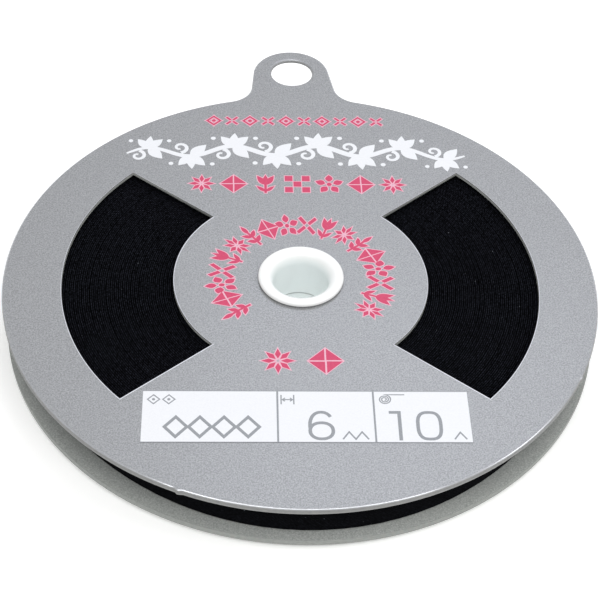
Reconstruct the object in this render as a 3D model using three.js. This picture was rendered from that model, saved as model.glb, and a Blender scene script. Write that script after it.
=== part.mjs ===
// A shop reel of folded bias binding.  The black tape is wound edge-up as one flat pancake on a white
// flanged hub, between two thin grey discs.  The front disc has two fan-shaped windows and a hang tab.
// Millimetres, +Z up.  The reel lies on its back: the back hub flange rests on z = 0, and +Y points
// from the hub to the hang tab.

import * as THREE from "three";

// ---- driving dimensions -------------------------------------------------------------------------

const PIECE_GAP = 0.3; // clearance between any two pieces

const TAPE_WIDTH = 6; // finished width of the folded tape, which stands on edge
const TAPE_LENGTH = 10000; // length wound on the reel
const TAPE_OUTER_RADIUS = 47.25; // outside of the last turn, where it lies tight
const LOOSE_REACH = 1.4; // how far the last turns stand out where they have slackened
const LOOSE_ANGLE = -86; // degrees from +X: the middle of that stretch, opposite the tab
const LOOSE_SPREAD = 55; // degrees that it fades over on each side
const TAPE_EDGE = 0.2; // softening of the folded edges
const TAPE_END_ANGLE = 100; // degrees from +X: where the last turn stops, under the tab side

const DISC_RADIUS = 50;
const DISC_THICKNESS = 1.1;
const DISC_EDGE = 0.2; // softened die-cut edge

const WINDOW_INNER_RADIUS = 21.6;
const WINDOW_OUTER_RADIUS = 40.3;
const WINDOW_EDGE_ANGLE = 39.5; // degrees between a window's straight edge and the X axis
const WINDOW_EDGE_RISE = 3.4; // how far above the hub centre the line of that edge crosses the Y axis

const TAB_RADIUS = 7.25; // round end of the hang tab
const TAB_CENTRE = { x: -0.5, y: 57.15 };
const TAB_FLARE = { right: 10, left: 4.5 }; // degrees that the tab's sides lean outwards
const TAB_FILLET = 5; // where the tab runs into the rim
const HANG_HOLE_RADIUS = 4.05;
const HANG_HOLE_CENTRE = { x: -0.35, y: 57.9 };

const BORE_RADIUS = 4.65; // spindle bore of the hub
const HUB_WALL = 0.7; // wall of the front tube, and of the back sleeve around it
const FLANGE_RADIUS = 7.25;
const FLANGE_THICKNESS = 0.7;
const FRONT_MOUTH = { wide: 1.85, deep: 2.3 }; // bell mouth of the front flange
const BACK_MOUTH = { wide: 0.95, deep: 0.9 }; // small flare of the back flange
const LIP_ROUND = { wide: 0.75, deep: 0.55 }; // rounded outer edge of each flange
const TUBE_END = 2.05; // height at which the front tube stops inside the sleeve

// ---- how finely curves are drawn ----------------------------------------------------------------

const RIM_STEPS = 96; // steps in a full circle of disc or tape
const HOLE_STEPS = 32;
const HUB_STEPS = 48;
const ROUND_STEPS = 5; // steps in a quarter round

// ---- finishes -----------------------------------------------------------------------------------

const FINISHES = {
  disc: { color: 0xaeb1b9, roughness: 0.45, metalness: 0.1 },
  hub: { color: 0xf3f4f2, roughness: 0.3, metalness: 0 },
  tape: { color: 0x101114, roughness: 0.9, metalness: 0 },
};

// ---- levels, worked out from the thicknesses ----------------------------------------------------

const BACK_DISC_LEVEL = FLANGE_THICKNESS + PIECE_GAP;
const TAPE_LEVEL = BACK_DISC_LEVEL + DISC_THICKNESS + PIECE_GAP;
const TAPE_TOP = TAPE_LEVEL + TAPE_WIDTH;
const FRONT_DISC_LEVEL = TAPE_TOP + PIECE_GAP;
const FRONT_FLANGE_LEVEL = FRONT_DISC_LEVEL + DISC_THICKNESS + PIECE_GAP;
const CROWN = FRONT_FLANGE_LEVEL + FLANGE_THICKNESS;

const TUBE_RADIUS = BORE_RADIUS + HUB_WALL;
const SLEEVE_BORE = TUBE_RADIUS + PIECE_GAP;
const SLEEVE_RADIUS = SLEEVE_BORE + HUB_WALL;
const FRONT_DISC_HOLE = TUBE_RADIUS + PIECE_GAP;
const BACK_DISC_HOLE = SLEEVE_RADIUS + PIECE_GAP;
const TAPE_INNER_RADIUS = SLEEVE_RADIUS + PIECE_GAP;

// The pancake's area, where it lies tight, is the tape's length times the thickness of one turn.
const TURN_THICKNESS =
  (Math.PI * (TAPE_OUTER_RADIUS ** 2 - TAPE_INNER_RADIUS ** 2)) / TAPE_LENGTH;

const TAB_TOP = TAB_CENTRE.y + TAB_RADIUS;

// ---- outlines -----------------------------------------------------------------------------------

const radians = THREE.MathUtils.degToRad;

function point(x, y) {
  return new THREE.Vector2(x, y);
}

function onCircle(centre, radius, angle) {
  return point(centre.x + radius * Math.cos(angle), centre.y + radius * Math.sin(angle));
}

// Points of an arc from one angle to another, both ends included.
function arc(centre, radius, from, to, stepsInCircle = RIM_STEPS) {
  const steps = Math.max(2, Math.ceil((Math.abs(to - from) / (2 * Math.PI)) * stepsInCircle));
  const points = [];
  for (let i = 0; i <= steps; i++) {
    points.push(onCircle(centre, radius, from + ((to - from) * i) / steps));
  }
  return points;
}

// A closed circle, without its last point, which would repeat the first.
function circle(centre, radius, stepsInCircle) {
  return arc(centre, radius, 0, 2 * Math.PI, stepsInCircle).slice(0, -1);
}

const HUB_AXIS = point(0, 0);

// One side of the hang tab, from the rim to the round end, for the side that faces +X (side = 1) or
// -X (side = -1): a fillet that touches the rim and the leaning straight edge.
function tabSide(side, flare) {
  const lean = radians(flare);
  const outward = point(side * Math.cos(lean), Math.sin(lean));
  const down = point(side * Math.sin(lean), -Math.cos(lean));
  const shoulder = point(TAB_CENTRE.x, TAB_CENTRE.y).addScaledVector(outward, TAB_RADIUS);

  // The fillet's centre is TAB_FILLET out from the edge and DISC_RADIUS + TAB_FILLET from the hub.
  const start = shoulder.clone().addScaledVector(outward, TAB_FILLET);
  const reach = DISC_RADIUS + TAB_FILLET;
  const along = start.dot(down);
  const run = -along - Math.sqrt(along ** 2 - start.lengthSq() + reach ** 2);
  const centre = start.addScaledVector(down, run);

  const atRim = Math.atan2(-centre.y, -centre.x);
  const atEdge = Math.atan2(-outward.y, -outward.x);
  const turn = Math.atan2(Math.sin(atEdge - atRim), Math.cos(atEdge - atRim));
  return {
    rimAngle: Math.atan2(centre.y, centre.x),
    fillet: arc(centre, TAB_FILLET, atRim, atRim + turn, HOLE_STEPS),
    shoulderAngle: Math.atan2(outward.y, outward.x),
  };
}

// The front disc's rim with its hang tab, anticlockwise.
function frontOutline() {
  const right = tabSide(1, TAB_FLARE.right);
  const left = tabSide(-1, TAB_FLARE.left);
  const tabEnd = arc(TAB_CENTRE, TAB_RADIUS, right.shoulderAngle, left.shoulderAngle, HUB_STEPS);
  const rim = arc(HUB_AXIS, DISC_RADIUS, left.rimAngle, right.rimAngle + 2 * Math.PI);
  return [...right.fillet, ...tabEnd, ...left.fillet.reverse(), ...rim.slice(1, -1)];
}

// Where a window's straight edge meets a circle about the hub, as an angle.
function windowCorner(radius) {
  const slope = Math.tan(radians(WINDOW_EDGE_ANGLE));
  const a = 1 + slope ** 2;
  const b = WINDOW_EDGE_RISE * slope;
  const c = WINDOW_EDGE_RISE ** 2 - radius ** 2;
  const x = (-b + Math.sqrt(b ** 2 - a * c)) / a;
  return Math.atan2(WINDOW_EDGE_RISE + slope * x, x);
}

// A fan-shaped window about the +X axis, turned by `facing`.
function windowOutline(facing) {
  const outer = windowCorner(WINDOW_OUTER_RADIUS);
  const inner = windowCorner(WINDOW_INNER_RADIUS);
  return [
    ...arc(HUB_AXIS, WINDOW_OUTER_RADIUS, facing - outer, facing + outer),
    ...arc(HUB_AXIS, WINDOW_INNER_RADIUS, facing + inner, facing - inner),
  ];
}

// How far the slack last turns stand out at an angle: a smooth lobe about LOOSE_ANGLE.
function slack(angle) {
  const away = angle - radians(LOOSE_ANGLE);
  const aside = Math.abs(Math.atan2(Math.sin(away), Math.cos(away))) / radians(LOOSE_SPREAD);
  return aside < 1 ? LOOSE_REACH * Math.cos((aside * Math.PI) / 2) ** 2 : 0;
}

// One turn of a spiral that gains a turn's thickness, so that its two ends leave the step of a cut end.
function spiralTurn(radius, steps, swell) {
  const start = radians(TAPE_END_ANGLE);
  const points = [];
  for (let i = 0; i <= steps; i++) {
    const share = i / steps;
    const angle = start + 2 * Math.PI * share;
    points.push(onCircle(HUB_AXIS, radius + TURN_THICKNESS * share + swell(angle), angle));
  }
  return points;
}

// ---- pieces -------------------------------------------------------------------------------------

// A flat piece of an outline with holes, `thickness` high from z = 0, with softened edges.
function plate(outline, holes, thickness, edge) {
  const shape = new THREE.Shape(outline);
  for (const hole of holes) {
    shape.holes.push(new THREE.Path(hole));
  }
  const geometry = new THREE.ExtrudeGeometry(shape, {
    depth: thickness - 2 * edge,
    bevelThickness: edge,
    bevelSize: edge,
    bevelOffset: -edge,
    bevelSegments: 1,
  });
  return geometry.translate(0, 0, edge);
}

// A turned piece: `profile` is a closed list of [radius, height] corners, anticlockwise.
function turned(profile) {
  const points = profile.map(([radius, height]) => point(radius, height));
  points.push(points[0].clone());
  return new THREE.LatheGeometry(points, HUB_STEPS).rotateX(Math.PI / 2);
}

// Corners of a quarter round in an ellipse about (radius, height), anticlockwise from the angle `from`
// in degrees.  Its last corner is left to whatever comes next.
function quarterRound(radius, height, { wide, deep }, from) {
  const corners = [];
  for (let i = 0; i < ROUND_STEPS; i++) {
    const angle = radians(from + (90 * i) / ROUND_STEPS);
    corners.push([radius + wide * Math.cos(angle), height + deep * Math.sin(angle)]);
  }
  return corners;
}

function frontDisc() {
  const holes = [
    circle(HUB_AXIS, FRONT_DISC_HOLE, HOLE_STEPS),
    circle(HANG_HOLE_CENTRE, HANG_HOLE_RADIUS, HOLE_STEPS),
    windowOutline(0),
    windowOutline(Math.PI),
  ];
  return plate(frontOutline(), holes, DISC_THICKNESS, DISC_EDGE);
}

function backDisc() {
  const rim = circle(HUB_AXIS, DISC_RADIUS, RIM_STEPS);
  return plate(rim, [circle(HUB_AXIS, BACK_DISC_HOLE, HOLE_STEPS)], DISC_THICKNESS, DISC_EDGE);
}

// The wound tape: its last turn ends in a step outside, and its first turn starts in one inside.
function binding() {
  const outside = spiralTurn(TAPE_OUTER_RADIUS - TURN_THICKNESS, RIM_STEPS, slack);
  const inside = spiralTurn(TAPE_INNER_RADIUS, HOLE_STEPS, () => 0);
  return plate(outside, [inside], TAPE_WIDTH, TAPE_EDGE);
}

// The front half of the hub: a flange with a bell mouth, on a tube that goes into the sleeve.
function hubFront() {
  const crest = BORE_RADIUS + FRONT_MOUTH.wide;
  return turned([
    [BORE_RADIUS, TUBE_END],
    [TUBE_RADIUS, TUBE_END],
    [TUBE_RADIUS, FRONT_FLANGE_LEVEL],
    [FLANGE_RADIUS, FRONT_FLANGE_LEVEL],
    ...quarterRound(FLANGE_RADIUS - LIP_ROUND.wide, CROWN - LIP_ROUND.deep, LIP_ROUND, 0),
    ...quarterRound(crest, CROWN - FRONT_MOUTH.deep, FRONT_MOUTH, 90),
    [BORE_RADIUS, CROWN - FRONT_MOUTH.deep],
  ]);
}

// The back half: a flange that the reel rests on, and a sleeve that carries the tape.
function hubBack() {
  return turned([
    ...quarterRound(BORE_RADIUS + BACK_MOUTH.wide, BACK_MOUTH.deep, BACK_MOUTH, 180),
    [BORE_RADIUS + BACK_MOUTH.wide, 0],
    ...quarterRound(FLANGE_RADIUS - LIP_ROUND.wide, LIP_ROUND.deep, LIP_ROUND, 270),
    [FLANGE_RADIUS, LIP_ROUND.deep],
    [FLANGE_RADIUS, FLANGE_THICKNESS],
    [SLEEVE_RADIUS, FLANGE_THICKNESS],
    [SLEEVE_RADIUS, TAPE_TOP],
    [SLEEVE_BORE, TAPE_TOP],
    [SLEEVE_BORE, TUBE_END - PIECE_GAP],
    [BORE_RADIUS, TUBE_END - PIECE_GAP],
  ]);
}

// ---- the reel -----------------------------------------------------------------------------------

const finishes = Object.fromEntries(
  Object.entries(FINISHES).map(([name, look]) => [name, new THREE.MeshStandardMaterial(look)]),
);

function piece(name, geometry, finish, level = 0) {
  const mesh = new THREE.Mesh(geometry, finishes[finish]);
  mesh.name = name;
  mesh.position.z = level;
  return mesh;
}

// The origin is below the middle of the whole outline, so the hub stands back by half the overhang.
const reel = new THREE.Group();
reel.position.y = (DISC_RADIUS - TAB_TOP) / 2;
reel.add(
  piece("hub_back", hubBack(), "hub"),
  piece("back_disc", backDisc(), "disc", BACK_DISC_LEVEL),
  piece("binding", binding(), "tape", TAPE_LEVEL),
  piece("front_disc", frontDisc(), "disc", FRONT_DISC_LEVEL),
  piece("hub_front", hubFront(), "hub"),
);

export default reel;
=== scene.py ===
"""A shop reel of folded black bias binding.

The tape is wound edge-up as a flat pancake on a white moulded hub, between two die-cut silver-grey discs.
The front disc is screen-printed with quilting ornament, and has two windows and a hang tab.
Shapes are worked out in millimetres about the hub's axis, and go into the frame in metres.
"""

import math
import random

import bpy
from mathutils import Matrix, Vector
from mathutils.geometry import delaunay_2d_cdt


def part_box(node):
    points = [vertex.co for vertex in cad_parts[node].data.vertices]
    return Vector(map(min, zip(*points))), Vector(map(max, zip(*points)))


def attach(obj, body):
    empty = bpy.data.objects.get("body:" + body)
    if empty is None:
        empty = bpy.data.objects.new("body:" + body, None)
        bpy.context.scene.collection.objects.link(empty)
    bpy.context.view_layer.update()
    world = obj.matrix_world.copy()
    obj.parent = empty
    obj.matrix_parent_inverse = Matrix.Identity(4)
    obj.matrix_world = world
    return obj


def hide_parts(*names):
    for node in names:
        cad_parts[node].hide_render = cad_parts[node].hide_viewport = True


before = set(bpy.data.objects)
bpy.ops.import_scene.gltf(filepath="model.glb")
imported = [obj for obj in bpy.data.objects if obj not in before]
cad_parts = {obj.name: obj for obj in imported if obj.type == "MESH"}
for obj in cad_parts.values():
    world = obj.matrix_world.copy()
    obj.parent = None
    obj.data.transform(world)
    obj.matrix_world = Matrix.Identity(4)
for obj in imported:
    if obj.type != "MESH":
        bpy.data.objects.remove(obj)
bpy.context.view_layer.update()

MM = 0.001  # metres in a millimetre


# ---- where the frame puts things, in millimetres --------------------------------------------------


def node_box(name):
    low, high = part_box(name)
    return low / MM, high / MM


hub_low, hub_high = node_box("hub_front")
HUB_X = (hub_low.x + hub_high.x) / 2
HUB_Y = (hub_low.y + hub_high.y) / 2
CROWN = hub_high.z  # top of the front flange
TUBE_END = hub_low.z  # where the front tube stops inside the sleeve

FRONT_UNDER, FRONT_FACE = (corner.z for corner in node_box("front_disc"))
BACK_UNDER, BACK_FACE = (corner.z for corner in node_box("back_disc"))
TAPE_LOW, TAPE_TOP = (corner.z for corner in node_box("binding"))
DISC_THICKNESS = FRONT_FACE - FRONT_UNDER

# ---- sizes, in millimetres about the hub's axis ---------------------------------------------------

GAP = 0.3  # clearance between pieces
DISC_RADIUS = 50
FRONT_RADIUS = 50.2  # the front blank spreads a little where its top edge is rolled over
RIM_SHIFT = Vector((0.02, 0.1))  # how far the front blank's rim was cut off centre
BACK_SHIFT = (0.16, 0.17)  # how far the back disc has slid off centre in its clearance
WINDOW_INNER_RADIUS = 21.6
WINDOW_OUTER_RADIUS = 40.3
WINDOW_EDGE_ANGLE = math.radians(39.5)  # between a window's straight edge and the X axis
WINDOW_EDGE_RISE = 3.4  # how far above the hub's centre the line of that edge crosses the Y axis
RIGHT_WINDOW_EXTRA = math.radians(0.8)  # how much further on the right window's upper edge is cut
LEFT_WINDOW_TURN = math.radians(0.35)  # how far the left window is turned as a whole
TAB_RADIUS = 7.25
TAB_CENTRE = (-0.45, 57.5)
TAB_FLARE = {1: math.radians(10), -1: math.radians(4.5)}  # lean of the tab's right and left sides
TAB_FILLET = 5
HANG_HOLE_RADIUS = 3.95
HANG_HOLE_CENTRE = (-0.3, 58.05)
NUB_HEIGHT = 0.26  # what is left of the bridges that held the blank in its sheet
NUB_WIDTH = 0.4
NUB_ANGLES = (math.radians(-113), math.radians(-27))

BORE_RADIUS = 4.65
HUB_WALL = 0.7
FLANGE_RADIUS = 7.25
FLANGE_THICKNESS = 0.7
TUBE_RADIUS = BORE_RADIUS + HUB_WALL
SLEEVE_BORE = TUBE_RADIUS + GAP
SLEEVE_RADIUS = SLEEVE_BORE + HUB_WALL
FRONT_DISC_HOLE = TUBE_RADIUS + GAP
BACK_DISC_HOLE = SLEEVE_RADIUS + GAP

TAPE_INNER_RADIUS = SLEEVE_RADIUS + GAP
TAPE_OUTER_RADIUS = 47.25
TAPE_TURNS = 58
TAPE_END_ANGLE = math.radians(100)
LOOSE_REACH = 1.4  # how far the last turns stand out where they have slackened
LOOSE_ANGLE = math.radians(-86)
LOOSE_SPREAD = math.radians(55)
LOOSE_TURNS = 12  # turns over which the slack builds up

ARC_STEP = 0.9  # length of a step along a curved edge


# ---- camera ---------------------------------------------------------------------------------------

# The camera is placed by where it looks on the front disc, and from which direction.
CAMERA_AIM = Vector((-0.45, -5.065))
CAMERA_AZIMUTH = math.radians(-3.172)
CAMERA_ELEVATION = math.radians(44.063)
CAMERA_DISTANCE = 285.0
CAMERA_ROLL = math.radians(2.501)
SENSOR_WIDTH = 36.0
LENS = 102.53
CLIP_START, CLIP_END = 0.01, 20  # metres


def set_camera():
    data = bpy.data.cameras.new("camera")
    data.sensor_width = SENSOR_WIDTH
    data.lens = LENS
    data.clip_start = CLIP_START
    data.clip_end = CLIP_END
    camera = bpy.data.objects.new("camera", data)
    back = Vector(
        (
            math.sin(CAMERA_AZIMUTH) * math.cos(CAMERA_ELEVATION),
            -math.cos(CAMERA_AZIMUTH) * math.cos(CAMERA_ELEVATION),
            math.sin(CAMERA_ELEVATION),
        )
    )
    level_right = (-back).cross(Vector((0, 0, 1))).normalized()
    level_up = level_right.cross(-back)
    right = math.cos(CAMERA_ROLL) * level_right + math.sin(CAMERA_ROLL) * level_up
    up = math.cos(CAMERA_ROLL) * level_up - math.sin(CAMERA_ROLL) * level_right
    aim = Vector((CAMERA_AIM.x + HUB_X, CAMERA_AIM.y + HUB_Y, FRONT_FACE))
    turn = Matrix((right, up, back)).transposed().to_4x4()
    camera.matrix_world = Matrix.Translation((aim + back * CAMERA_DISTANCE) * MM) @ turn
    bpy.context.scene.collection.objects.link(camera)
    bpy.context.scene.camera = camera


set_camera()


# ---- finishes -------------------------------------------------------------------------------------


def linear(hex_colour):
    """An sRGB hex colour, such as "A9ACB3", as linear red, green, blue and alpha."""
    shares = (int(hex_colour[i : i + 2], 16) / 255 for i in (0, 2, 4))
    return (*(s / 12.92 if s <= 0.04045 else ((s + 0.055) / 1.055) ** 2.4 for s in shares), 1)


def add_node(material, kind, inputs=None, **settings):
    """Adds a shader node.  `inputs` gives sockets, by identifier, a value or the socket that feeds them."""
    added = material.node_tree.nodes.new(kind)
    for setting, value in settings.items():
        setattr(added, setting, value)
    for identifier, value in (inputs or {}).items():
        socket = next(s for s in added.inputs if s.identifier == identifier)
        if isinstance(value, bpy.types.NodeSocket):
            material.node_tree.links.new(value, socket)
        else:
            socket.default_value = value
    return added


def new_finish(name, **values):
    """A material with one Principled shader, its even values set on the shader's own sockets."""
    material = bpy.data.materials.new(name)
    material.use_nodes = True
    material.node_tree.nodes.clear()
    inputs = {socket.replace("_", " "): value for socket, value in values.items()}
    shader = add_node(material, "ShaderNodeBsdfPrincipled", inputs)
    add_node(material, "ShaderNodeOutputMaterial", {"Surface": shader.outputs[0]})
    return material, shader


def per_metre(size_mm):
    """How many features of a size there are in a metre, which is the scale of a texture on metres."""
    return 1 / (size_mm * MM)


WAVE_RADIANS = 20  # how far Blender's wave texture turns over one unit of its scale


def feed(material, shader, identifier, socket):
    material.node_tree.links.new(socket, shader.inputs[identifier])


def calendered_polystyrene(name, dark, light, tint, coat):
    """Die-cut polystyrene sheet: satin, with a fine glitter of pigment and a grain from the rolls."""
    # The real grain is 0.1 mm.  It is drawn 0.24 mm wide, which is as fine as the view can show.
    grain_mm = 0.24
    cloud_mm = 9
    material, shader = new_finish(
        name, Metallic=0.1, Roughness=0.42, IOR=1.59, Coat_Weight=coat, Coat_Roughness=0.2
    )
    place = add_node(material, "ShaderNodeTexCoord").outputs["Object"]
    grain = add_node(
        material,
        "ShaderNodeTexNoise",
        {"Vector": place, "Scale": per_metre(grain_mm), "Detail": 2.0, "Roughness": 0.7},
    )
    clouds = add_node(
        material, "ShaderNodeTexNoise", {"Vector": place, "Scale": per_metre(cloud_mm), "Detail": 2.0}
    )
    pigment = add_node(
        material, "ShaderNodeMapRange", {"Value": grain.outputs[0], "From Min": 0.3, "From Max": 0.7}
    )
    speckle = add_node(
        material,
        "ShaderNodeMix",
        {"Factor_Float": pigment.outputs[0], "A_Color": linear(dark), "B_Color": linear(light)},
        data_type="RGBA",
    )
    patches = add_node(
        material, "ShaderNodeMapRange", {"Value": clouds.outputs[0], "From Min": 0.3, "To Max": 0.3}
    )
    shade = add_node(
        material,
        "ShaderNodeMix",
        {"Factor_Float": patches.outputs[0], "A_Color": speckle.outputs[2], "B_Color": linear(tint)},
        data_type="RGBA",
    )
    bump = add_node(
        material,
        "ShaderNodeBump",
        {"Height": grain.outputs[0], "Strength": 0.3, "Distance": 0.02 * MM},
    )
    feed(material, shader, "Base Color", shade.outputs[2])
    feed(material, shader, "Normal", bump.outputs[0])
    return material


def cut_polystyrene(name, dark, light, roughness, metallic):
    """The edge of the sheet where it was cut, a little uneven in tone as a blade leaves it."""
    mottle_mm = 0.6
    material, shader = new_finish(name, Metallic=metallic, Roughness=roughness, IOR=1.59)
    place = add_node(material, "ShaderNodeTexCoord").outputs["Object"]
    mottle = add_node(
        material, "ShaderNodeTexNoise", {"Vector": place, "Scale": per_metre(mottle_mm), "Detail": 3.0}
    )
    shade = add_node(
        material,
        "ShaderNodeMix",
        {"Factor_Float": mottle.outputs[0], "A_Color": linear(dark), "B_Color": linear(light)},
        data_type="RGBA",
    )
    feed(material, shader, "Base Color", shade.outputs[2])
    return material


def bias_cut_poplin():
    """Black cotton poplin cut on the bias: matt, with bias threads and lint, and painted paler on the folds,
    partly rub wear and partly painted sheen where their tops catch the light.
    """
    # Real threads lie 0.2 mm apart.  They are drawn 0.42 mm apart, which is as fine as the view can show.
    thread_mm = 0.42
    paling_mm = 0.3
    lint_mm = 0.5
    material, shader = new_finish(
        "bias_cut_poplin",
        Roughness=0.92,
        IOR=1.45,
        Specular_IOR_Level=0.04,
    )
    along = add_node(material, "ShaderNodeUVMap", uv_map="cloth")
    bias = add_node(
        material,
        "ShaderNodeMapping",
        {"Vector": along.outputs[0], "Rotation": (0, 0, math.radians(45))},
    )
    threads = add_node(
        material,
        "ShaderNodeTexWave",
        {
            "Vector": bias.outputs[0],
            "Scale": per_metre(thread_mm) * math.tau / WAVE_RADIANS,
            "Distortion": 2.5,
            "Detail": 2.0,
            "Detail Scale": 1.5,
        },
    )
    place = add_node(material, "ShaderNodeTexCoord").outputs["Object"]
    paling = add_node(
        material,
        "ShaderNodeTexNoise",
        {"Vector": place, "Scale": per_metre(paling_mm), "Detail": 2.0, "Roughness": 0.7},
    )
    fibres = add_node(
        material,
        "ShaderNodeTexNoise",
        {"Vector": place, "Scale": per_metre(lint_mm), "Detail": 2.0, "Roughness": 0.7},
    )
    # Painted sheen and rub wear: the crests of the folds are painted paler, towards the lighter colour
    # below, in dotted runs.
    fold_rub_and_sheen = add_node(material, "ShaderNodeAttribute", attribute_name="fold_rub_and_sheen")
    rub_and_sheen_share = add_node(
        material, "ShaderNodeMapRange", {"Value": paling.outputs[0], "From Min": 0.4, "From Max": 0.68}
    )
    rub_and_sheen = add_node(
        material,
        "ShaderNodeMath",
        {"Value": fold_rub_and_sheen.outputs["Fac"], "Value_001": rub_and_sheen_share.outputs[0]},
        operation="MULTIPLY",
    )
    threaded = add_node(
        material, "ShaderNodeMapRange", {"Value": threads.outputs["Fac"], "To Min": 0.35}
    )
    pale = add_node(
        material,
        "ShaderNodeMath",
        {"Value": rub_and_sheen.outputs[0], "Value_001": threaded.outputs[0]},
        operation="MULTIPLY",
    )
    dye_rub_and_sheen = add_node(
        material,
        "ShaderNodeMix",
        {"Factor_Float": pale.outputs[0], "A_Color": linear("020203"), "B_Color": linear("31333C")},
        data_type="RGBA",
    )
    lint = add_node(
        material,
        "ShaderNodeMapRange",
        {"Value": fibres.outputs[0], "From Min": 0.74, "From Max": 0.8, "To Max": 0.8},
    )
    cloth = add_node(
        material,
        "ShaderNodeMix",
        {"Factor_Float": lint.outputs[0], "A_Color": dye_rub_and_sheen.outputs[2], "B_Color": linear("8A8E94")},
        data_type="RGBA",
    )
    bump = add_node(
        material,
        "ShaderNodeBump",
        {"Height": threads.outputs["Fac"], "Strength": 0.4, "Distance": 0.06 * MM},
    )
    feed(material, shader, "Base Color", cloth.outputs[2])
    feed(material, shader, "Normal", bump.outputs[0])
    return material


def moulded_polypropylene():
    """White polypropylene from a polished mould: glossy all over, with painted shade making it greyer in the
    bore.
    """
    flow_mm = 3
    material, shader = new_finish(
        "moulded_polypropylene",
        Roughness=0.24,
        IOR=1.49,
        Subsurface_Weight=0.08,
        Subsurface_Scale=1.5 * MM,
        Subsurface_Radius=(1.0, 1.0, 0.95),
    )
    place = add_node(material, "ShaderNodeTexCoord").outputs["Object"]
    flow = add_node(
        material, "ShaderNodeTexNoise", {"Vector": place, "Scale": per_metre(flow_mm), "Detail": 2.0}
    )
    tint = add_node(
        material,
        "ShaderNodeMix",
        {"Factor_Float": flow.outputs[0], "A_Color": linear("F7F9F7"), "B_Color": linear("FCFCFB")},
        data_type="RGBA",
    )
    # Painted shade: the bore is painted greyer than the flange, towards the tint below, as shade falls
    # inside the hole.
    painted_bore_shade = add_node(material, "ShaderNodeAttribute", attribute_name="painted_bore_shade")
    shade_in_bore = add_node(
        material,
        "ShaderNodeMix",
        {"Factor_Float": painted_bore_shade.outputs["Fac"], "A_Color": tint.outputs[2], "B_Color": linear("EAF0EF")},
        data_type="RGBA",
    )
    bump = add_node(
        material, "ShaderNodeBump", {"Height": flow.outputs[0], "Strength": 0.1, "Distance": 0.05 * MM}
    )
    feed(material, shader, "Base Color", shade_in_bore.outputs[2])
    feed(material, shader, "Normal", bump.outputs[0])
    return material


def screen_ink(name, thin, thick):
    """Screen-printing ink: a satin film whose colour is a little uneven from the mesh it came through."""
    mesh_mm = 0.3
    material, shader = new_finish(name, Roughness=0.5, IOR=1.5)
    place = add_node(material, "ShaderNodeTexCoord").outputs["Object"]
    film = add_node(
        material, "ShaderNodeTexNoise", {"Vector": place, "Scale": per_metre(mesh_mm), "Detail": 2.0}
    )
    colour = add_node(
        material,
        "ShaderNodeMix",
        {"Factor_Float": film.outputs[0], "A_Color": linear(thin), "B_Color": linear(thick)},
        data_type="RGBA",
    )
    feed(material, shader, "Base Color", colour.outputs[2])
    return material


SILVER_FINISH = calendered_polystyrene("silver_polystyrene", "747576", "A7A8AA", "8E8F91", 0.2)
GREY_FINISH = calendered_polystyrene("unprinted_grey_polystyrene", "969A97", "CCCFCB", "AFB2AE", 0)
ROLLED_FINISH = cut_polystyrene("rolled_polystyrene", "A9ABAF", "CCCED2", 0.2, 0.5)
# Painted highlight: a near-white finish on the window lips, standing in for the bright line that light draws
# along them.
LIP_HIGHLIGHT_FINISH = cut_polystyrene("polystyrene_painted_lip_highlight", "C6C9D4", "F0F1F7", 0.25, 0)
TORN_FINISH = cut_polystyrene("torn_polystyrene", "737475", "949491", 0.5, 0)
BURNISHED_FINISH = cut_polystyrene("burnished_polystyrene", "C6CAC6", "E8EBE6", 0.35, 0.1)
GREY_EDGE_FINISH = cut_polystyrene("cut_grey_polystyrene", "7F827E", "9B9E9A", 0.6, 0)
TAPE_FINISH = bias_cut_poplin()
HUB_FINISH = moulded_polypropylene()
WHITE_INK = screen_ink("white_screen_ink", "DFE0E3", "EAEBEE")
PINK_INK = screen_ink("pink_screen_ink", "BE2A55", "D2456C")
UNDER_INK = screen_ink("pale_pink_under_ink", "DB9FB3", "E9BBC8")
GREY_INK = screen_ink("grey_screen_ink", "84878B", "9A9DA1")


# ---- mesh making ----------------------------------------------------------------------------------


def add_piece(name, corners, faces, finishes, smooth=(), parts=(), replaces=None):
    """A mesh piece from corners in millimetres about the hub.

    `smooth` says which faces are rounded, and `parts` which of the finishes each face has.
    """
    mesh = bpy.data.meshes.new(name)
    mesh.from_pydata([((x + HUB_X) * MM, (y + HUB_Y) * MM, z * MM) for x, y, z in corners], [], faces)
    mesh.polygons.foreach_set("use_smooth", smooth or [False] * len(faces))
    mesh.polygons.foreach_set("material_index", parts or [0] * len(faces))
    for finish in finishes:
        mesh.materials.append(finish)
    mesh.update()
    piece = bpy.data.objects.new(name, mesh)
    bpy.context.scene.collection.objects.link(piece)
    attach(piece, "root")
    if replaces:
        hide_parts(replaces)
    return piece


class Welded:
    """Faces given by the places of their corners, so that corners which meet become one vertex."""

    def __init__(self):
        self.places = {}
        self.faces = []
        self.smooth = []
        self.parts = []

    def face(self, corners, smooth=False, part=0):
        keys = [tuple(round(value, 5) for value in corner) for corner in corners]
        self.faces.append([self.places.setdefault(key, len(self.places)) for key in keys])
        self.smooth.append(smooth)
        self.parts.append(part)

    def piece(self, name, finishes, slot, replaces=None):
        corners = list(self.places)
        return add_piece(name, corners, self.faces, finishes, self.smooth, self.parts, replaces)


def signed_area(loop):
    return sum(a.x * b.y - a.y * b.x for a, b in zip(loop, loop[1:] + loop[:1])) / 2


def grown(loop, by):
    """A closed anticlockwise loop moved outwards, or inwards where `by` is negative, with sharp corners."""
    moved = []
    for index, corner in enumerate(loop):
        before = (corner - loop[index - 1]).normalized()
        after = (loop[(index + 1) % len(loop)] - corner).normalized()
        along = (before + after).normalized()
        outward = Vector((along.y, -along.x))
        lean = max(0.4, outward.dot(Vector((before.y, -before.x))))
        moved.append(corner + outward * (by / lean))
    return moved


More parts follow.
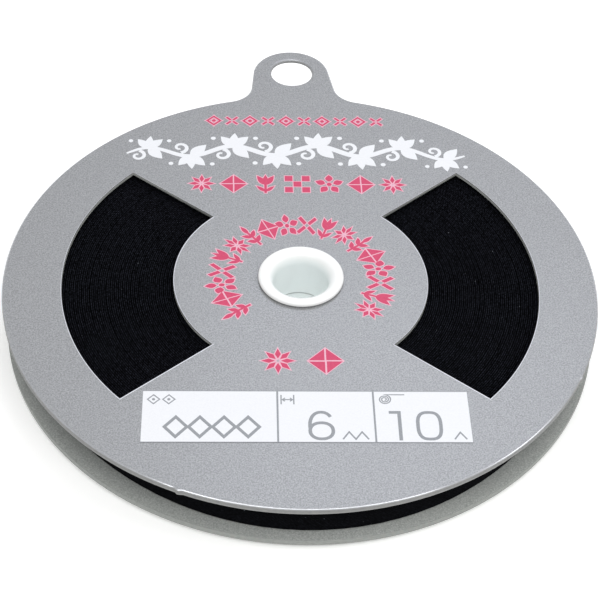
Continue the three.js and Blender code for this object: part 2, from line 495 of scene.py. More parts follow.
def filled(loops, holes=()):
    """Triangles that fill the union of closed loops, less the holes: their points and index triples."""
    points, faces = [], []
    for loop in [*loops, *holes]:
        faces.append(list(range(len(points), len(points) + len(loop))))
        points.extend(loop)
    found = delaunay_2d_cdt(points, [], faces, 0, 1e-6)
    places, triangles, owners = found[0], found[2], found[5]
    kept = [
        triangle
        for triangle, owner in zip(triangles, owners)
        if owner and all(index < len(loops) for index in owner)
    ]
    return places, kept


# ---- outlines -------------------------------------------------------------------------------------


def on_circle(radius, angle, centre=(0, 0)):
    return Vector((centre[0] + radius * math.cos(angle), centre[1] + radius * math.sin(angle)))


def arc(radius, start, end, centre=(0, 0), step=ARC_STEP):
    """Points along an arc, both ends included."""
    count = max(3, math.ceil(abs(end - start) * radius / step))
    return [on_circle(radius, start + (end - start) * i / count, centre) for i in range(count + 1)]


def circle(radius, centre=(0, 0), step=ARC_STEP):
    return arc(radius, 0, math.tau, centre, step)[:-1]


def wrapped(angle):
    """An angle as its equal between -pi and pi."""
    return math.atan2(math.sin(angle), math.cos(angle))


def nub(angle):
    """How far the rim stands out at an angle, for the torn bridges left on it."""
    rise = 0
    for middle in NUB_ANGLES:
        away = abs(wrapped(angle - middle)) * FRONT_RADIUS / NUB_WIDTH
        rise += NUB_HEIGHT * math.exp(-(away**4))
    return rise


def tab_side(side):
    """The tab's fillet and shoulder on one side: +1 faces +X, -1 faces -X."""
    lean = TAB_FLARE[side]
    outward = Vector((side * math.cos(lean), math.sin(lean)))
    down = Vector((side * math.sin(lean), -math.cos(lean)))
    start = Vector(TAB_CENTRE) + outward * (TAB_RADIUS + TAB_FILLET)
    reach = FRONT_RADIUS + TAB_FILLET
    along = start.dot(down)
    centre = start + down * (-along - math.sqrt(along**2 - start.length_squared + reach**2))
    at_rim = math.atan2(-centre.y, -centre.x)
    at_edge = math.atan2(-outward.y, -outward.x)
    fillet = arc(TAB_FILLET, at_rim, at_rim + wrapped(at_edge - at_rim), centre, ARC_STEP / 2)
    return fillet, math.atan2(centre.y, centre.x), math.atan2(outward.y, outward.x)


def front_outline():
    """The front disc's rim with its hang tab and torn bridges, anticlockwise."""
    right_fillet, right_rim, right_shoulder = tab_side(1)
    left_fillet, left_rim, left_shoulder = tab_side(-1)
    tab_end = arc(TAB_RADIUS, right_shoulder, left_shoulder, TAB_CENTRE, ARC_STEP / 2)
    rim = arc(FRONT_RADIUS, left_rim, right_rim + math.tau, step=ARC_STEP / 2)
    rim = [point * (1 + nub(math.atan2(point.y, point.x)) / FRONT_RADIUS) for point in rim]
    return [point + RIM_SHIFT for point in right_fillet + tab_end + left_fillet[::-1] + rim[1:-1]]


def window_corner(radius):
    """The angle at which a window's straight edge meets a circle about the hub."""
    slope = math.tan(WINDOW_EDGE_ANGLE)
    a = 1 + slope**2
    b = WINDOW_EDGE_RISE * slope
    c = WINDOW_EDGE_RISE**2 - radius**2
    x = (-b + math.sqrt(b**2 - a * c)) / a
    return math.atan2(WINDOW_EDGE_RISE + slope * x, x)


def window(facing, wider=0.0):
    """A window that faces an angle; `wider` turns its anticlockwise edge on by that much more."""
    outer = window_corner(WINDOW_OUTER_RADIUS)
    inner = window_corner(WINDOW_INNER_RADIUS)
    return arc(WINDOW_OUTER_RADIUS, facing - outer, facing + outer + wider) + arc(
        WINDOW_INNER_RADIUS, facing + inner + wider, facing - inner
    )


# ---- discs ----------------------------------------------------------------------------------------

# A cut edge from its face down.  Each row is how far it lies back, how deep it is, and which finish
# the strip above it has: the face's own, glossy where the sheet is rolled over, torn, painted near white
# as a highlight along a lip, or burnished by the blade.
FACE, ROLLED, TORN, LIP_HIGHLIGHT, BURNISHED = 0, 1, 2, 3, 4
# The blade rolls the top over, leaves a shallow waist where the sheet tore, and a burr line below it.
RIM_EDGE = (
    (0.26, 0.0, FACE),
    (0.24, 0.008, FACE),
    (0.22, 0.022, ROLLED),
    (0.07, 0.142, ROLLED),
    (0.05, 0.165, TORN),
    (0.0, 0.25, TORN),
    (0.03, 0.37, TORN),
    (0.12, 0.46, TORN),
    (0.12, 0.52, TORN),
    (0.03, 0.64, TORN),
    (0.0, 0.76, TORN),
    (0.0, 0.92, TORN),
    (0.05, 1.02, TORN),
    (0.13, DISC_THICKNESS, TORN),
)
# A window is cut from the other side, which raises a lip along its top edge and breaks away below.
WINDOW_EDGE = (
    (0.16, 0.0, FACE),
    (0.14, -0.008, FACE),
    # Painted highlight: the lip's top is painted near white, for the thin bright line along the window
    # edges.
    (0.045, -0.075, LIP_HIGHLIGHT),
    (0.025, -0.08, TORN),
    (0.01, -0.05, TORN),
    (0.0, 0.16, TORN),
    (-0.02, 0.56, BURNISHED),
    (0.1, 0.66, TORN),
    (0.28, 0.84, TORN),
    (0.56, DISC_THICKNESS, TORN),
)
# The hang hole is punched: its top is drawn down round the punch, and its bottom breaks away.
PUNCHED_EDGE = (
    (0.5, 0.0, FACE),
    (0.34, 0.03, FACE),
    (0.2, 0.1, ROLLED),
    (0.08, 0.21, FACE),
    (0.01, 0.36, FACE),
    (0.0, 0.48, TORN),
    (0.06, 0.58, TORN),
    (0.22, 0.74, TORN),
    (0.44, 0.92, TORN),
    (0.66, DISC_THICKNESS, TORN),
)
# The back disc was cut with a finer blade, so its edges are hardly rounded, and all of one finish.
CUT = 1
FINE_EDGE = (
    (0.1, 0.0, FACE),
    (0.03, 0.03, CUT),
    (0.0, 0.1, CUT),
    (0.0, 1.0, CUT),
    (0.03, 1.07, CUT),
    (0.1, DISC_THICKNESS, CUT),
)


def cut_edge(welded, loop, edge, face_level, side):
    """The wall of a cut edge round a loop; `side` is 1 round a blank and -1 round a hole."""
    rings = [
        [(point.x, point.y, face_level - depth) for point in grown(loop, -side * back)]
        for back, depth, _ in edge
    ]
    for upper, lower, (_, _, finish) in zip(rings, rings[1:], edge[1:]):
        for i in range(len(loop)):
            corners = [upper[i - 1], lower[i - 1], lower[i], upper[i]]
            welded.face(corners if side == 1 else corners[::-1], smooth=True, part=finish)


def die_cut_disc(name, outline, rim, holes, face_level, finishes, replaces):
    """A disc from its outline and the edge along its rim, and from its holes, each a loop and its edge."""
    welded = Welded()
    cut_edge(welded, outline, rim, face_level, 1)
    for hole, edge in holes:
        cut_edge(welded, hole, edge, face_level, -1)
    for end in (0, -1):
        rim_back, depth, _ = rim[end]
        openings = [grown(hole, edge[end][0]) for hole, edge in holes]
        places, triangles = filled([grown(outline, -rim_back)], openings)
        for triangle in triangles:
            corners = [(places[i].x, places[i].y, face_level - depth) for i in triangle]
            welded.face(corners if end == 0 else corners[::-1])
    return welded.piece(name, finishes, "disc", replaces)


die_cut_disc(
    "front_disc_blank",
    front_outline(),
    RIM_EDGE,
    [
        (circle(FRONT_DISC_HOLE, step=ARC_STEP / 2), WINDOW_EDGE),
        (circle(HANG_HOLE_RADIUS, HANG_HOLE_CENTRE, ARC_STEP / 3), PUNCHED_EDGE),
        (window(0, RIGHT_WINDOW_EXTRA), WINDOW_EDGE),
        (window(math.pi + LEFT_WINDOW_TURN), WINDOW_EDGE),
    ],
    FRONT_FACE,
    (SILVER_FINISH, ROLLED_FINISH, TORN_FINISH, LIP_HIGHLIGHT_FINISH, BURNISHED_FINISH),
    "front_disc",
)
die_cut_disc(
    "back_disc_blank",
    circle(DISC_RADIUS, BACK_SHIFT, ARC_STEP / 2),
    FINE_EDGE,
    [(circle(BACK_DISC_HOLE, BACK_SHIFT, ARC_STEP / 2), FINE_EDGE)],
    BACK_FACE,
    (GREY_FINISH, GREY_EDGE_FINISH),
    "back_disc",
)


# ---- hub ------------------------------------------------------------------------------------------

HUB_STEPS = 144
ROUND_STEPS = 10
FRONT_MOUTH = (1.85, 2.3)  # width and depth of the front flange's bell mouth
BACK_MOUTH = (0.95, 0.9)
LIP_ROUND = (0.75, 0.55)
BORE_SHADE_FADE = 0.6  # how far out from the bore its painted shade fades away


def quarter_round(radius, height, size, start):
    """Corners of a quarter of an ellipse, anticlockwise from `start` degrees, without the last one."""
    wide, deep = size
    angles = [math.radians(start + 90 * i / ROUND_STEPS) for i in range(ROUND_STEPS)]
    return [(radius + wide * math.cos(a), height + deep * math.sin(a)) for a in angles]


def turned(name, profile, sharp, replaces):
    """A turned moulding; `profile` is its closed section, and `sharp` its corners that stay crisp."""
    welded = Welded()
    rings = [
        [(*on_circle(radius, math.tau * i / HUB_STEPS), height) for i in range(HUB_STEPS)]
        for radius, height in profile
    ]
    for lower, upper in zip(rings, rings[1:] + rings[:1]):
        for i in range(HUB_STEPS):
            welded.face([lower[i - 1], lower[i], upper[i], upper[i - 1]], smooth=True)
    piece = welded.piece(name, (HUB_FINISH,), "hub", replaces)
    crisp = {(round(radius, 4), round(height, 4)) for radius, height in sharp}
    corners = [
        (round(math.hypot(v.co.x / MM - HUB_X, v.co.y / MM - HUB_Y), 4), round(v.co.z / MM, 4))
        for v in piece.data.vertices
    ]
    on_crisp = [
        any(abs(r - cr) < 1e-3 and abs(z - cz) < 1e-3 for cr, cz in crisp) for r, z in corners
    ]
    for line in piece.data.edges:
        a, b = line.vertices
        same_ring = abs(corners[a][0] - corners[b][0]) < 1e-3 and abs(corners[a][1] - corners[b][1]) < 1e-3
        line.use_edge_sharp = same_ring and on_crisp[a] and on_crisp[b]
    # Painted shade: each corner's share of the bore's painted greyness, full at the bore wall and fading
    # outwards.
    painted_bore_shade = piece.data.attributes.new("painted_bore_shade", "FLOAT", "POINT")
    painted_bore_shade.data.foreach_set("value", [max(0, 1 - (r - BORE_RADIUS) / BORE_SHADE_FADE) for r, _ in corners])
    return piece


def front_moulding():
    crest = BORE_RADIUS + FRONT_MOUTH[0]
    flange_under = CROWN - FLANGE_THICKNESS
    square = [
        (BORE_RADIUS, TUBE_END),
        (TUBE_RADIUS, TUBE_END),
        (TUBE_RADIUS, flange_under),
        (FLANGE_RADIUS, flange_under),
    ]
    profile = [
        *square,
        *quarter_round(FLANGE_RADIUS - LIP_ROUND[0], CROWN - LIP_ROUND[1], LIP_ROUND, 0),
        *quarter_round(crest, CROWN - FRONT_MOUTH[1], FRONT_MOUTH, 90),
        (BORE_RADIUS, CROWN - FRONT_MOUTH[1]),
    ]
    return turned("hub_front_moulding", profile, square, "hub_front")


def back_moulding():
    flange_top = FLANGE_THICKNESS
    square = [
        (FLANGE_RADIUS, flange_top),
        (SLEEVE_RADIUS, flange_top),
        (SLEEVE_RADIUS, TAPE_TOP),
        (SLEEVE_BORE, TAPE_TOP),
        (SLEEVE_BORE, TUBE_END - GAP),
        (BORE_RADIUS, TUBE_END - GAP),
    ]
    profile = [
        *quarter_round(BORE_RADIUS + BACK_MOUTH[0], BACK_MOUTH[1], BACK_MOUTH, 180),
        (BORE_RADIUS + BACK_MOUTH[0], 0),
        *quarter_round(FLANGE_RADIUS - LIP_ROUND[0], LIP_ROUND[1], LIP_ROUND, 270),
        (FLANGE_RADIUS, LIP_ROUND[1]),
        *square,
    ]
    return turned("hub_back_moulding", profile, square, "hub_back")


front_moulding()
back_moulding()


# ---- wound tape -----------------------------------------------------------------------------------

STEPS_A_TURN = 100
TURN_PITCH = (TAPE_OUTER_RADIUS - TAPE_INNER_RADIUS) / (TAPE_TURNS + 1)
PLY_PACK = 0.95  # how much of the pitch the folded plies fill
DRIFT = 0.02  # how far a turn wanders sideways
RISE, RISE_MARGIN = 0.05, 0.06  # how far its top edge wavers, and how far below the top of the solid
SWELL = 0.04  # how much its thickness varies, as a share
EDGE_RUB = 0.3  # how much the lower edge is rubbed

# The folded tape's section on edge: across, as a share of half its thickness, how far below its top edge
# in millimetres, and how much paler the fold is painted there, partly rub wear and partly painted sheen on
# the crests.  The top shows two folds and a valley.
FOLD_SECTION = (
    (-1.0, 0.5, 0.0),
    (-0.9, 0.16, 0.1),
    (-0.66, 0.02, 0.8),
    (-0.42, 0.0, 1.0),
    (-0.16, 0.12, 0.2),
    (0.0, 0.34, 0.0),
    (0.16, 0.14, 0.2),
    (0.42, 0.02, 1.0),
    (0.68, 0.04, 0.8),
    (0.9, 0.18, 0.1),
    (1.0, 0.52, 0.0),
)
EDGE_SECTION = ((1.0, 0.3), (0.5, 0.0), (-0.5, 0.0), (-1.0, 0.3))


def slack(angle, share):
    """How far a turn stands out at an angle; `share` is 1 for the last turn and 0 where the slack begins."""
    aside = abs(wrapped(angle - LOOSE_ANGLE)) / LOOSE_SPREAD
    lobe = math.cos(aside * math.pi / 2) ** 2 if aside < 1 else 0
    return LOOSE_REACH * lobe * share**1.5


def wavering(seed, length, count):
    """A smooth random run of values between -1 and 1: `length` of them, with a new aim every `count`."""
    draw = random.Random(seed)
    aims = [draw.uniform(-1, 1) for _ in range(length // count + 3)]
    values = []
    for i in range(length):
        index, part = divmod(i / count, 1)
        ease = part * part * (3 - 2 * part)
        values.append(aims[int(index)] * (1 - ease) + aims[int(index) + 1] * ease)
    return values


def wound_tape():
    steps = TAPE_TURNS * STEPS_A_TURN
    start_angle = TAPE_END_ANGLE - TAPE_TURNS * math.tau
    half = TURN_PITCH * PLY_PACK / 2
    rise = wavering(11, steps + 1, 17)
    drift = wavering(12, steps + 1, 43)
    swell = wavering(13, steps + 1, 9)
    section = len(FOLD_SECTION) + len(EDGE_SECTION)
    corners, faces, cloth = [], [], []
    travelled = 0
    before = None
    for step in range(steps + 1):
        angle = start_angle + math.tau * step / STEPS_A_TURN
        turns = step / STEPS_A_TURN
        late = max(0, 1 - (TAPE_TURNS - turns) / LOOSE_TURNS)
        radius = TAPE_INNER_RADIUS + TURN_PITCH * (0.5 + turns) + slack(angle, late)
        middle = on_circle(radius + DRIFT * drift[step], angle)
        travelled += (middle - before).length if before else 0
        before = middle
        out = on_circle(1, angle)
        top = TAPE_TOP - RISE_MARGIN + RISE * rise[step]
        width = half * (1 + SWELL * swell[step])
        ring = [(across * width, top - below) for across, below, _ in FOLD_SECTION]
        ring += [(across * width, TAPE_LOW + above) for across, above in EDGE_SECTION]
        girth = [0]
        for (r0, z0), (r1, z1) in zip(ring, ring[1:] + ring[:1]):
            girth.append(girth[-1] + math.hypot(r1 - r0, z1 - z0))
        corners += [(middle.x + out.x * r, middle.y + out.y * r, z) for r, z in ring]
        cloth.append([(travelled * MM, g * MM) for g in girth])
    uv = []
    for step in range(steps):
        here, there = step * section, (step + 1) * section
        for i in range(section):
            j = (i + 1) % section
            faces.append([here + i, here + j, there + j, there + i])
            uv += [cloth[step][i], cloth[step][i + 1], cloth[step + 1][i + 1], cloth[step + 1][i]]
    first, last = list(range(section)), list(range(steps * section, (steps + 1) * section))
    faces += [first[::-1], last]
    uv += [(0, 0)] * (2 * section)
    smooth = [True] * (len(faces) - 2) + [False, False]
    piece = add_piece("wound_tape", corners, faces, (TAPE_FINISH,), smooth, replaces="binding")
    layer = piece.data.uv_layers.new(name="cloth")
    layer.data.foreach_set("uv", [value for pair in uv for value in pair])
    # How much paler each corner of the section is painted: rub wear, and painted sheen on the crests.
    rub_and_sheen_share = [paling for _, _, paling in FOLD_SECTION] + [EDGE_RUB] * len(EDGE_SECTION)
    fold_rub_and_sheen = piece.data.attributes.new("fold_rub_and_sheen", "FLOAT", "POINT")
    fold_rub_and_sheen.data.foreach_set("value", rub_and_sheen_share * (steps + 1))
    return piece


wound_tape()


# ---- print ----------------------------------------------------------------------------------------

INK_THICKNESS = 0.03
UNDER_INK_THICKNESS = 0.015
UNDER_INK_MARGIN = 0.16  # how far the pale under-print shows past the pink
INK_BITE = 0.01  # how far the films reach into the disc


def upright(loop):
    return loop if signed_area(loop) > 0 else loop[::-1]


def ink_film(name, loops, finish, low, high):
    """A thin printed film over the union of closed loops."""
    places, triangles = filled([upright(loop) for loop in loops])
    welded = Welded()
    rims = {}
    for triangle in triangles:
        welded.face([(*places[i], high) for i in triangle])
        welded.face([(*places[i], low) for i in reversed(triangle)])
        for a, b in zip(triangle, triangle[1:] + triangle[:1]):
            if (b, a) in rims:
                del rims[b, a]
            else:
                rims[a, b] = True
    for a, b in rims:
        welded.face([(*places[a], low), (*places[b], low), (*places[b], high), (*places[a], high)])
    return welded.piece(name, (finish,), "print")


def moved(loops, centre, turn=0.0, wide=1.0, tall=None):
    """Loops scaled about the origin, turned, and then set at a centre."""
    cos, sin = math.cos(turn), math.sin(turn)
    tall = wide if tall is None else tall
    return [
        [
            Vector(
                (
                    centre[0] + p.x * wide * cos - p.y * tall * sin,
                    centre[1] + p.x * wide * sin + p.y * tall * cos,
                )
            )
            for p in loop
        ]
        for loop in loops
    ]


def stroke(path, widths, closed=False):
    """A pen stroke along a path, as one quadrilateral a step.  `widths` is one width, or one a point."""
    path = [Vector(point) for point in path]
    count = len(path)
    if not isinstance(widths, (list, tuple)):
        widths = [widths] * count
    sides = []
    for i, point in enumerate(path):
        before = path[i - 1] if closed or i else point
        after = path[(i + 1) % count] if closed or i < count - 1 else point
        towards = [(b - a).normalized() for a, b in ((before, point), (point, after)) if (b - a).length]
        along = sum(towards, Vector((0, 0))).normalized()
        across = Vector((-along.y, along.x))
        lean = max(0.5, abs(along.dot(towards[0])))
        sides.append((point + across * widths[i] / 2 / lean, point - across * widths[i] / 2 / lean))
    joins = zip(sides, sides[1:] + (sides[:1] if closed else []))
    return [[left0, right0, right1, left1] for (left0, right0), (left1, right1) in joins]


def leaf(base, tip, width):
    """A pointed leaf between two points."""
    base, tip = Vector(base), Vector(tip)
    along = tip - base
    across = Vector((-along.y, along.x)).normalized() * width / 2
    count = 7
    edge = [math.sin(math.pi * (i / count) ** 0.85) for i in range(count + 1)]
    left = [base + along * (i / count) + across * edge[i] for i in range(count + 1)]
    right = [base + along * (i / count) - across * edge[i] for i in range(1, count)]
    return [right + left[:0:-1] + [base]]


def dot(centre, radius):
    return [circle(radius, centre, radius / 2.5)]


# Motifs are drawn in a square of side 1 about the origin.


def pinwheel():
    """Four sails of a quilt block."""
    sail = [Vector((0.02, 0.03)), Vector((0.46, 0.03)), Vector((0.02, 0.47))]
    return [loop for i in range(4) for loop in moved([sail], (0, 0), math.pi / 2 * i)]


def blossom(petals=5):
    shapes = dot((0, 0), 0.09)
    for i in range(petals):
        angle = math.tau * i / petals + math.pi / 2
        shapes += leaf(on_circle(0.15, angle), on_circle(0.52, angle), 0.27)
    return shapes


def star():
    """An eight-pointed star of lozenges."""
    shapes = []
    for i in range(8):
        angle = math.tau * i / 8
        shapes.append(
            [
                on_circle(0.04, angle),
                on_circle(0.27, angle - math.pi / 8),
                on_circle(0.51, angle),
                on_circle(0.27, angle + math.pi / 8),
            ]
        )
    return [grown(upright(shape), -0.018) for shape in shapes]


def sprig():
    shapes = stroke([(0, -0.5), (0.02, -0.1), (0, 0.2)], 0.1)
    shapes += leaf((0, 0.12), (0, 0.54), 0.2)
    for side in (-1, 1):
        shapes += leaf((0, -0.32), (0.34 * side, -0.12), 0.17)
        shapes += leaf((0, -0.06), (0.34 * side, 0.16), 0.17)
    return shapes


def nine_patch():
    patch = [Vector(corner) for corner in ((-0.14, -0.14), (0.14, -0.14), (0.14, 0.14), (-0.14, 0.14))]
    places = ((0, 0), (-0.31, -0.31), (0.31, -0.31), (0.31, 0.31), (-0.31, 0.31))
    return [loop for place in places for loop in moved([patch], place)]


def tulip():
    cup = leaf((0, -0.06), (-0.3, 0.45), 0.24) + leaf((0, -0.06), (0.3, 0.45), 0.24)
    cup += leaf((0, -0.06), (0, 0.5), 0.2)
    cup += stroke([(0, -0.5), (0, 0)], 0.09)
    return cup + leaf((0, -0.42), (0.32, -0.12), 0.15) + leaf((0, -0.42), (-0.32, -0.12), 0.15)


def on_point(half_wide, half_tall):
    """The corners of a lozenge that stands on a corner, anticlockwise from the right."""
    return [Vector(p) for p in ((half_wide, 0), (0, half_tall), (-half_wide, 0), (0, -half_tall))]


def lozenge():
    return stroke(on_point(0.42, 0.42), 0.13, closed=True) + dot((0, 0), 0.13)


def cross_stitch():
    shapes = []
    for i in range(4):
        angle = math.pi / 4 + math.pi / 2 * i
        shapes += stroke([on_circle(0.1, angle), on_circle(0.5, angle)], 0.15)
    return shapes


def small_row():
    """Small motifs in a row under the hang tab."""
    height, half_length, count = 42.8, 15.2, 10
    shapes = []
    for i in range(count):
        x = -half_length + 2 * half_length * i / (count - 1)
        shapes += moved((lozenge, cross_stitch)[i % 2](), (x, height), wide=2.9)
    return shapes


def block_row():
    """Seven quilt blocks below the vine."""
    height, half_length = 24.6, 17.2
    blocks = (star, pinwheel, tulip, nine_patch, blossom, pinwheel, star)
    shapes = []
    for i, block in enumerate(blocks):
        x = -half_length + 2 * half_length * i / (len(blocks) - 1)
        shapes += moved(block(), (x, height), wide=5.0)
    return shapes


def hub_ring():
    """Motifs round the hub, heads outwards, open at the bottom."""
    radius, start, end, count = 13.5, math.radians(217), math.radians(-34), 18
    motifs = (sprig, pinwheel, blossom, cross_stitch, tulip, star)
    shapes = []
    for i in range(count):
        angle = start + (end - start) * i / (count - 1)
        shapes += moved(motifs[i % 6](), on_circle(radius, angle), angle - math.pi / 2, 4.05, 5.6)
    return shapes


def block_pair():
    """Two larger quilt blocks between the hub and the label."""
    height, size = -19.4, 5.9
    return moved(star(), (-4.2, height), wide=size) + moved(pinwheel(), (3.5, height), wide=size)


VINE_HALF_LENGTH = 31.0
VINE_HEIGHT = 34.1
VINE_ARCH = 0.0012  # how fast the vine falls away from the middle, for each millimetre squared
VINE_SWING = 1.35
VINE_WAVES = 4


def vine_point(x):
    wave = 2 * VINE_HALF_LENGTH / VINE_WAVES
    swing = VINE_SWING * math.sin(math.tau * (x + VINE_HALF_LENGTH) / wave)
    return Vector((x, VINE_HEIGHT - VINE_ARCH * x**2 + swing))


def vine_shoot(crest, side, size):
    """The leaves, curl and berries that leave the vine at one of its crests."""
    shapes = []
    for tip, width in (((3.1, 3.0), 2.3), ((-2.4, 3.0), 2.1), ((0.4, 4.1), 1.8), ((3.2, -3.7), 2.6)):
        shapes += leaf((0, 0), (tip[0], tip[1] * side), width)
    turns = 17
    curl = [
        Vector((-2.2, -2.7 * side)) + on_circle(1.7 - 1.4 * i / turns, side * (1.4 - 0.4 * i))
        for i in range(turns)
    ]
    shapes += stroke(curl, [0.85 - 0.025 * i for i in range(turns)])
    shapes += dot((4.5, 2.5 * side), 0.5)
    shapes += dot((-3.9, 2.4 * side), 0.5)
    return moved(shapes, crest, wide=size)


def vine():
    """A running vine of leaves, curls and berries across the top of the disc."""
    steps = 96
    xs = [VINE_HALF_LENGTH * (2 * i / steps - 1) for i in range(steps + 1)]
    taper = [0.35 + 0.85 * (1 - (x / VINE_HALF_LENGTH) ** 2) ** 0.5 for x in xs]
    shapes = stroke([vine_point(x) for x in xs], taper)
    shoots = 2 * VINE_WAVES
    for i in range(shoots):
        x = VINE_HALF_LENGTH * ((2 * i + 1) / shoots - 1)
        shapes += vine_shoot(vine_point(x), 1 - 2 * (i % 2), 0.95 - 0.15 * (x / VINE_HALF_LENGTH) ** 2)
    return shapes


LABEL_LEFT, LABEL_RIGHT = -25.6, 25.7
LABEL_BOTTOM, LABEL_TOP = -36.85, -26.0
LABEL_DIVIDERS = (-4.44, 10.72)
LABEL_LINE = 0.3
LABEL_BORDER = 0.14
FIGURE_HEIGHT = 6.1
FIGURE_WIDTH = 4.15
FIGURE_STROKE = 0.56
FIGURE_LEVEL = -33.32
MARK_LEVEL = -27.9
MARK_STROKE = 0.2  # line width of the small marks


def rectangle(x0, x1, y0, y1):
    return [Vector((x0, y0)), Vector((x1, y0)), Vector((x1, y1)), Vector((x0, y1))]


def label():
    return [rectangle(LABEL_LEFT, LABEL_RIGHT, LABEL_BOTTOM, LABEL_TOP)]


def rounded_ring(width, height, squareness, start=0.0, end=math.tau, count=32):
    """Points on a rounded oval: `squareness` is 2 for an ellipse and more for fuller corners."""
    points = []
    for i in range(count + 1):
        angle = start + (end - start) * i / count
        cos, sin = math.cos(angle), math.sin(angle)
        points.append(
            Vector(
                (
                    math.copysign(abs(cos) ** (2 / squareness), cos) * width / 2,
                    math.copysign(abs(sin) ** (2 / squareness), sin) * height / 2,
                )
            )
        )
    return points


def figure_six():
    wide, tall = FIGURE_WIDTH - FIGURE_STROKE, FIGURE_HEIGHT - FIGURE_STROKE
    bowl_height = tall * 0.6
    bowl = [p + Vector((0, (bowl_height - tall) / 2)) for p in rounded_ring(wide, bowl_height, 2.2)[:-1]]
    back = rounded_ring(wide, tall, 2.2, math.radians(38), math.radians(195), 18)
    return stroke(bowl, FIGURE_STROKE, closed=True) + stroke(back, FIGURE_STROKE)


def figure_one():
    top = (FIGURE_HEIGHT - FIGURE_STROKE) / 2
    return stroke([(-1.1, top), (0.5, top), (0.5, -FIGURE_HEIGHT / 2)], FIGURE_STROKE)


def figure_nought():
    ring = rounded_ring(FIGURE_WIDTH - FIGURE_STROKE, FIGURE_HEIGHT - FIGURE_STROKE, 2.9)[:-1]
    return stroke(ring, FIGURE_STROKE, closed=True)


def label_print():
    """Lines, plain figures and small marks in the label's three cells."""
    shapes = []
    for x in LABEL_DIVIDERS:
        shapes.append(rectangle(x - LABEL_LINE / 2, x + LABEL_LINE / 2, LABEL_BOTTOM, LABEL_TOP))
    shapes.append(rectangle(LABEL_LEFT, LABEL_RIGHT, LABEL_TOP - LABEL_BORDER, LABEL_TOP))
    shapes.append(rectangle(LABEL_LEFT, LABEL_RIGHT, LABEL_BOTTOM, LABEL_BOTTOM + LABEL_BORDER))
    for figure, x in ((figure_six, 2.35), (figure_one, 14.1), (figure_nought, 19.2)):
        shapes += moved(figure(), (x, FIGURE_LEVEL))
    # Four linked lozenges in the first cell.
    for i in range(4):
        centre = (-20.3 + 3.75 * i, -33.65)
        shapes += moved(stroke(on_point(1.75, 2.05), 0.52, closed=True), centre)
    # Small marks: two squares on point, a width mark, a coil and its running end.
    for x in (-23.9, -21.5):
        square = stroke(on_point(0.95, 0.95), MARK_STROKE, closed=True)
        shapes += moved(square + dot((0, 0), 0.25), (x, MARK_LEVEL))
    shapes += moved(width_mark(), (-2.85, MARK_LEVEL))
    shapes += moved(coil_mark(), (12.5, -27.8))
    for x, size in ((7.6, 1.0), (23.9, 0.95)):
        shapes += moved(stitch_mark(4 if x < 10 else 2), (x, -35.4), wide=size)
    return shapes


def width_mark():
    """Two upright lines with a double-ended arrow between them."""
    lines = [[(-1.0, -1.0), (-1.0, 1.0)], [(1.0, -1.0), (1.0, 1.0)], [(-0.8, 0), (0.8, 0)]]
    lines += [[(0.4 * side, 0.35), (0.8 * side, 0), (0.4 * side, -0.35)] for side in (-1, 1)]
    return [loop for line in lines for loop in stroke(line, MARK_STROKE)]


def coil_mark():
    """A coil of tape with its end running out to the right."""
    turns, count = 2.5, 40
    coil = [
        on_circle(0.2 + 0.85 * i / count, math.tau * turns * i / count - math.pi / 2)
        for i in range(count + 1)
    ]
    return stroke(coil + [Vector((1.2, 1.0)), Vector((3.2, 1.0))], MARK_STROKE)


def stitch_mark(count):
    """A short zigzag of machine stitches."""
    path = [((i - count / 2) * 1.0, 0.75 if i % 2 else -0.75) for i in range(count + 1)]
    return stroke(path, 0.26)


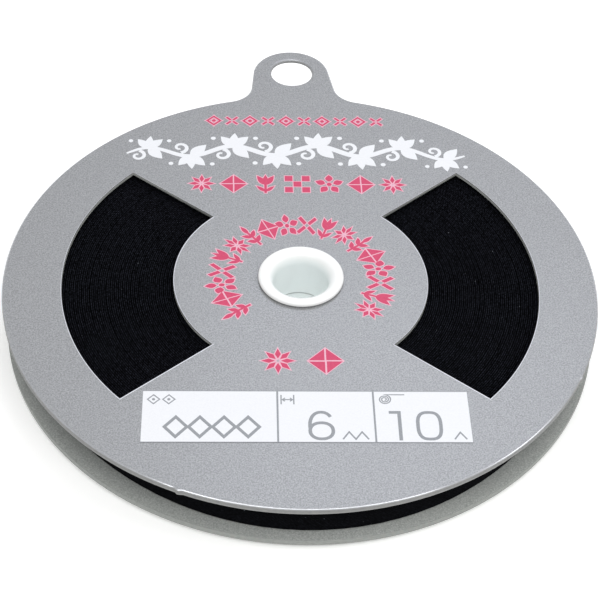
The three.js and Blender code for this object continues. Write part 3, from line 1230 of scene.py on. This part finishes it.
FILM_TOP = FRONT_FACE + INK_THICKNESS
FILM_LOW = FRONT_FACE - INK_BITE
pink = small_row() + block_row() + hub_ring() + block_pair()
under = [grown(upright(loop), UNDER_INK_MARGIN) for loop in pink]
ink_film("print_pink_under", under, UNDER_INK, FILM_LOW, FRONT_FACE + UNDER_INK_THICKNESS)
ink_film("print_pink", pink, PINK_INK, FILM_LOW, FILM_TOP)
ink_film("print_white", vine(), WHITE_INK, FILM_LOW, FILM_TOP)
ink_film("print_label", label(), WHITE_INK, FILM_LOW, FILM_TOP)
ink_film("print_grey", label_print(), GREY_INK, FILM_LOW, FILM_TOP + UNDER_INK_THICKNESS)


# ---- floor and light ------------------------------------------------------------------------------


FLOOR_HALF = 3.0  # metres
FLOOR_GLOW = 0.2
ROOM_LIGHT = 0.53


def add_floor():
    """An opal sheet lit from below, which keeps the ground white round the reel."""
    corners = [(x * FLOOR_HALF, y * FLOOR_HALF, 0) for x, y in ((-1, -1), (1, -1), (1, 1), (-1, 1))]
    mesh = bpy.data.meshes.new("floor")
    mesh.from_pydata(corners, [], [(0, 1, 2, 3)])
    material, _ = new_finish(
        "opal_acrylic_lit_from_below",
        Base_Color=linear("FAFAF9"),
        Roughness=0.9,
        Emission_Color=linear("FFFFFF"),
        Emission_Strength=FLOOR_GLOW,
    )
    mesh.materials.append(material)
    floor = bpy.data.objects.new("floor", mesh)
    bpy.context.scene.collection.objects.link(floor)


def add_softbox(name, place, width, height, power, colour="FFFFFF"):
    """A soft light that faces the reel; place, width and height are in metres."""
    data = bpy.data.lights.new(name, "AREA")
    data.shape = "RECTANGLE"
    data.size = width
    data.size_y = height
    data.energy = power
    data.color = linear(colour)[:3]
    light = bpy.data.objects.new(name, data)
    light.location = place
    aim = Vector((HUB_X * MM, HUB_Y * MM, 0)) - Vector(place)
    light.rotation_euler = aim.to_track_quat("-Z", "Y").to_euler()
    bpy.context.scene.collection.objects.link(light)


def set_studio():
    world = bpy.data.worlds.new("studio")
    world.use_nodes = True
    world.node_tree.nodes["Background"].inputs["Color"].default_value = (1, 1, 1, 1)
    world.node_tree.nodes["Background"].inputs["Strength"].default_value = ROOM_LIGHT
    bpy.context.scene.world = world
    bpy.context.scene.view_settings.view_transform = "Standard"
    add_softbox("softbox_above", (0.0, -0.05, 0.9), 0.5, 0.5, 1.2)
    add_softbox("softbox_front", (0.0, -0.5, 0.75), 1.2, 0.2, 3.6)
    add_softbox("softbox_behind", (0.1, 0.5, 0.68), 0.3, 0.3, 1.5, "EAF0FF")
    add_softbox("softbox_right", (0.7, -0.1, 0.55), 0.3, 0.4, 1.1)


add_floor()
set_studio()
